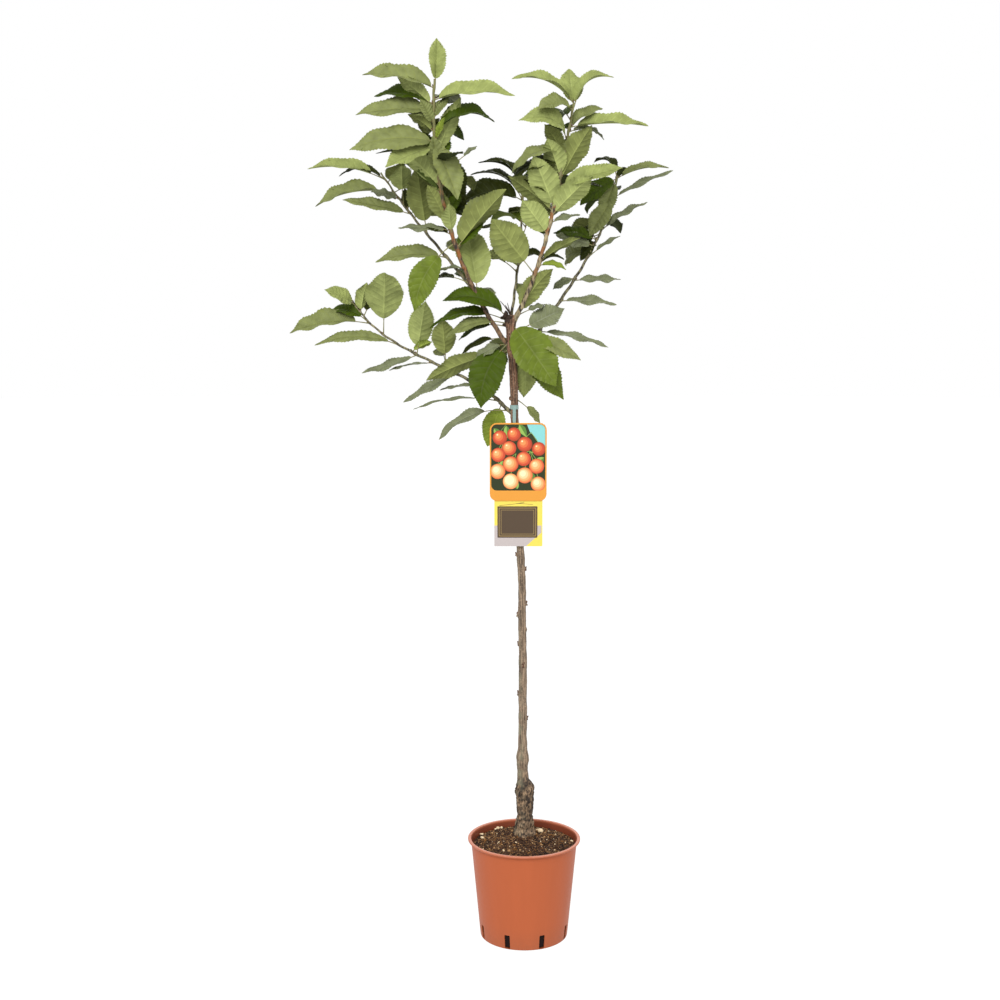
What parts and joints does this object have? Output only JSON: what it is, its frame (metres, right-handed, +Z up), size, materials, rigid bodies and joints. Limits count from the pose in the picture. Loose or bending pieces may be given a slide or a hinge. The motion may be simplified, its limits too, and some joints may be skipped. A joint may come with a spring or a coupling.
{
  "type": "potted cherry tree",
  "caption": "Young sweet cherry standard: a clear trunk with a graft union, forked shoots with masses of large leaves, a hanging picture label, in a round plastic nursery pot of soil.",
  "frame": {"origin": "middle of the pot's flat underside", "axes": "+Z up along the trunk, +X to the right and -Y towards the viewer as the plant is shown"},
  "size_m": [0.7236, 0.4265, 1.716],
  "materials": {
    "pot_plastic": "satin",
    "potting_soil": "matte",
    "trunk_bark": "matte",
    "shoot_bark": "satin",
    "cherry_leaf": "satin",
    "label_card": "gloss",
    "label_strap": "gloss"
  },
  "bodies": {
    "root": {"bough_centre": "shoot_bark", "bough_far_right": "shoot_bark", "bough_left": "shoot_bark", "bough_low_left": "shoot_bark", "bough_right": "shoot_bark", "bough_side": "shoot_bark", "foliage_centre_tip": "cherry_leaf", "foliage_far_right_low": "cherry_leaf", "foliage_far_right_middle": "cherry_leaf", "foliage_far_right_tip": "cherry_leaf", "foliage_fork_front": "cherry_leaf", "foliage_fork_left": "cherry_leaf", "foliage_fork_right": "cherry_leaf", "foliage_left_inner": "cherry_leaf", "foliage_left_low": "cherry_leaf", "foliage_left_middle": "cherry_leaf", "foliage_left_top": "cherry_leaf", "foliage_left_upper": "cherry_leaf", "foliage_low_left_foot": "cherry_leaf", "foliage_low_left_inner": "cherry_leaf", "foliage_low_left_middle": "cherry_leaf", "foliage_low_left_tip": "cherry_leaf", "foliage_right_inner": "cherry_leaf", "foliage_right_low": "cherry_leaf", "foliage_right_middle": "cherry_leaf", "foliage_right_top": "cherry_leaf", "foliage_right_upper": "cherry_leaf", "foliage_side_tip": "cherry_leaf", "label_back_card": "label_card", "label_front_card": "label_card", "label_strap": "label_strap", "pot": "pot_plastic", "potting_soil": "potting_soil", "trunk": "trunk_bark"}
  },
  "joints": []
}
